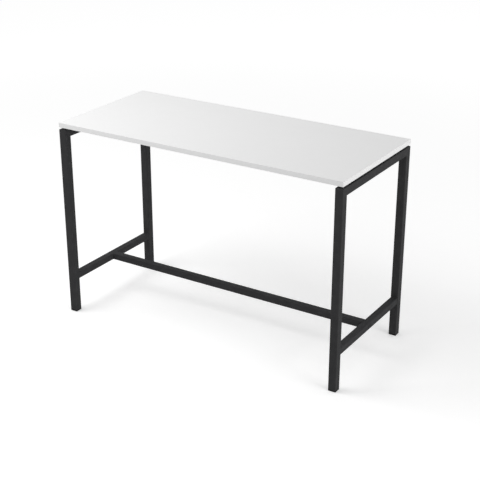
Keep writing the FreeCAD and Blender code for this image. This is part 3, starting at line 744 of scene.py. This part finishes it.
FLANGE_ROUND = 0.8
FLANGE_SEGMENTS = 4

for corner in CORNERS:
    node = f"foot_insert_{corner}"
    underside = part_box(node)[0].z
    insert = skin_of(node)
    soften(insert, outline_edges(insert, node, (underside,)), FLANGE_ROUND, FLANGE_SEGMENTS)
    stand_for(node, insert, [plastic])
dress(["foot_nuts"], zinc)


# ---------------------------------------------------------------------------------------------------
# Levelling studs: M8, zinc plated, with a round head that snaps into the pad and a hexagon for the
# spanner. Turning the stud raises or lowers that leg.
# ---------------------------------------------------------------------------------------------------

STUD_SIDES = 36
M8_DIAMETER = 8.0
M8_PITCH = 1.25
STUD_HEAD_RADIUS = 6.0
STUD_HEAD_TOP = 6.02  # above the floor, as are the two faces of the hexagon
STUD_HEAD_ROUND = 0.8
STUD_FLATS = 13.0
STUD_HEX_START = 7.6
STUD_HEX_END = 12.6
STUD_TIP = 1.0


def on_foot(corner, part):
    """Moves a part that was made round Z to its place over a foot, at its own height."""
    low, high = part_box(f"glide_pad_{corner}")
    middle = (low + high) / 2
    bmesh.ops.translate(part, verts=part.verts, vec=(middle.x, middle.y, 0.0))
    return closed(part)


def levelling_stud(corner):
    """Round head, neck, spanner hexagon chamfered on both faces, and a thread with a chamfered tip."""
    low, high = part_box(f"glide_stud_{corner}")
    start, end = low.z / MM, high.z / MM
    root = M8_DIAMETER / 2 - THREAD_DEPTH * M8_PITCH
    across = hexagon(STUD_FLATS)
    face = HEX_FACE * STUD_FLATS
    flat = STUD_HEAD_RADIUS - STUD_HEAD_ROUND
    lower_rim = arc(flat, start + STUD_HEAD_ROUND, STUD_HEAD_ROUND, -90, 0)
    upper_rim = arc(flat, STUD_HEAD_TOP - STUD_HEAD_ROUND, STUD_HEAD_ROUND, 0, 90)
    neck = [(M8_DIAMETER / 2, STUD_HEAD_TOP), (M8_DIAMETER / 2, STUD_HEX_START)]
    spanner_hexagon = [(face, STUD_HEX_START), (across, chamfer_of(STUD_FLATS, STUD_HEX_START, -1)),
                       (across, chamfer_of(STUD_FLATS, STUD_HEX_END, 1)), (face, STUD_HEX_END)]
    part = bmesh.new()
    turned(part, [(0.0, start)] + lower_rim + upper_rim + neck + spanner_hexagon + [(root, STUD_HEX_END)],
           STUD_SIDES)
    threaded(part, M8_DIAMETER, M8_PITCH, STUD_HEX_END, end - STUD_TIP, STUD_SIDES)
    turned(part, [(root, end - STUD_TIP), (root - STUD_TIP / 2, end), (0.0, end)], STUD_SIDES)
    return on_foot(corner, part)


for corner in CORNERS:
    stand_for(f"glide_stud_{corner}", levelling_stud(corner), [zinc], f"foot_stud_{corner}")


# ---------------------------------------------------------------------------------------------------
# Glide pads: round feet moulded in polypropylene, with a raised socket that holds the stud's head. They
# stay still on the floor while the stud turns in them.
# ---------------------------------------------------------------------------------------------------

PAD_SIDES = 48
PAD_RADIUS = 15.0
PAD_RIM_TOP = 4.0
PAD_FOOT_RADIUS = 14.0
PAD_ROUND = 0.8
PAD_BOSS_RADIUS = 9.0
PAD_FILLET = 0.9
PAD_MOUTH_RADIUS = 4.6
PAD_SOCKET_RADIUS = 6.08
PAD_SOCKET_FLOOR = 2.0
PAD_LIP = 0.9


def glide_pad(corner):
    """A disc with a rounded rim, a filleted boss and the socket inside it."""
    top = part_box(f"glide_pad_{corner}")[1].z / MM
    flat = PAD_RADIUS - PAD_ROUND
    lower_rim = arc(flat, PAD_RADIUS - PAD_FOOT_RADIUS + PAD_ROUND, PAD_ROUND, -45, 0)
    upper_rim = arc(flat, PAD_RIM_TOP - PAD_ROUND, PAD_ROUND, 0, 90)
    fillet = arc(PAD_BOSS_RADIUS + PAD_FILLET, PAD_RIM_TOP + PAD_FILLET, PAD_FILLET, 270, 180)
    boss = arc(PAD_BOSS_RADIUS - PAD_ROUND, top - PAD_ROUND, PAD_ROUND, 0, 90)
    lip = [(PAD_MOUTH_RADIUS + PAD_LIP / 2, top), (PAD_MOUTH_RADIUS, top - PAD_LIP / 2),
           (PAD_MOUTH_RADIUS, top - PAD_LIP)]
    socket = [(PAD_SOCKET_RADIUS, top - PAD_LIP), (PAD_SOCKET_RADIUS, PAD_SOCKET_FLOOR),
              (0.0, PAD_SOCKET_FLOOR)]
    part = bmesh.new()
    turned(part, [(0.0, 0.0), (PAD_FOOT_RADIUS, 0.0)] + lower_rim + upper_rim + fillet + boss + lip + socket,
           PAD_SIDES)
    return on_foot(corner, part)


for corner in CORNERS:
    stand_for(f"glide_pad_{corner}", glide_pad(corner), [plastic], f"foot_pad_{corner}")


# ---------------------------------------------------------------------------------------------------
# The studio: a white room, a floor of white paper that is clear from beneath and brighter far off, two
# large soft lights, and the camera. Its sizes are in metres.
# ---------------------------------------------------------------------------------------------------

def seen(tree):
    """1 for what the camera sees, straight on or mirrored or through glass, and 0 for what lights."""
    path = add(tree, "ShaderNodeLightPath")
    shown = add(tree, "ShaderNodeMath", {0: path.outputs["Is Camera Ray"], 1: path.outputs["Is Glossy Ray"]},
                operation="MAXIMUM")
    return add(tree, "ShaderNodeMath", {0: shown.outputs[0], 1: path.outputs["Is Transmission Ray"]},
               operation="MAXIMUM").outputs[0]


ROOM_LIGHT = 0.53
world = bpy.data.worlds.new("studio")
bpy.context.scene.world = world
world.use_nodes = True
tree = world.node_tree
tree.nodes.clear()
level = add(tree, "ShaderNodeMapRange", {"Value": seen(tree), "To Min": ROOM_LIGHT, "To Max": 1.0})
sky = add(tree, "ShaderNodeBackground", {"Color": linear("#ffffff"), "Strength": level.outputs[0]})
add(tree, "ShaderNodeOutputWorld", {"Surface": sky.outputs[0]})

FLOOR_RADIUS = 40.0
NEAR_FLOOR = 1.5
FAR_FLOOR = 6.0
NEAR_TOP_UP = 0.32
FAR_TOP_UP = 0.5
paper = bpy.data.materials.new("white_studio_paper")
paper.use_nodes = True
tree = paper.node_tree
tree.nodes.clear()
matt = add(tree, "ShaderNodeBsdfDiffuse", {"Color": linear("#f2f2f2")})
place = add(tree, "ShaderNodeTexCoord").outputs["Object"]
away = add(tree, "ShaderNodeVectorMath", {0: place}, operation="LENGTH").outputs["Value"]
top_up = add(tree, "ShaderNodeMapRange", {"Value": away, "From Min": NEAR_FLOOR, "From Max": FAR_FLOOR,
                                          "To Min": NEAR_TOP_UP, "To Max": FAR_TOP_UP})
shown = add(tree, "ShaderNodeMath", {0: top_up.outputs[0], 1: seen(tree)}, operation="MULTIPLY")
glow = add(tree, "ShaderNodeEmission", {"Strength": shown.outputs[0]})
both = add(tree, "ShaderNodeAddShader", {0: matt.outputs[0], 1: glow.outputs[0]})
beneath = add(tree, "ShaderNodeNewGeometry").outputs["Backfacing"]
clear = add(tree, "ShaderNodeBsdfTransparent")
one_way = add(tree, "ShaderNodeMixShader", {0: beneath, 1: both.outputs[0], 2: clear.outputs[0]})
add(tree, "ShaderNodeOutputMaterial", {"Surface": one_way.outputs[0]})

shape = bmesh.new()
bmesh.ops.create_circle(shape, cap_ends=True, segments=96, radius=FLOOR_RADIUS)
mesh = bpy.data.meshes.new("floor")
shape.to_mesh(mesh)
shape.free()
mesh.materials.append(paper)
floor = bpy.data.objects.new("floor", mesh)
bpy.context.scene.collection.objects.link(floor)


def softbox(name, place, target, size, power):
    """A large square lamp that faces its target."""
    data = bpy.data.lights.new(name, "AREA")
    data.shape = "SQUARE"
    data.size = size
    data.energy = power
    lamp = bpy.data.objects.new(name, data)
    lamp.location = place
    lamp.rotation_euler = (Vector(target) - Vector(place)).to_track_quat("-Z", "Y").to_euler()
    bpy.context.scene.collection.objects.link(lamp)


softbox("overhead_left", place=(-1.65, -1.2, 3.1), target=(-0.75, -0.3, 1.05), size=1.8, power=43.5)
softbox("far_right", place=(8.5, -1.2, 2.8), target=(0.3, 0.0, 0.9), size=4.5, power=255.0)

SENSOR_WIDTH = 36.0
LENS = 83.55
CAMERA_PLACE = (2.823, -4.3879, 2.7189)
CAMERA_TILT_DOWN = 23.349
CAMERA_TURN = 32.267
data = bpy.data.cameras.new("camera")
data.sensor_width = SENSOR_WIDTH
data.lens = LENS
camera = bpy.data.objects.new("camera", data)
camera.location = CAMERA_PLACE
camera.rotation_euler = (math.radians(90 - CAMERA_TILT_DOWN), 0.0, math.radians(CAMERA_TURN))
bpy.context.scene.collection.objects.link(camera)
bpy.context.scene.camera = camera
bpy.context.scene.view_settings.view_transform = "Standard"
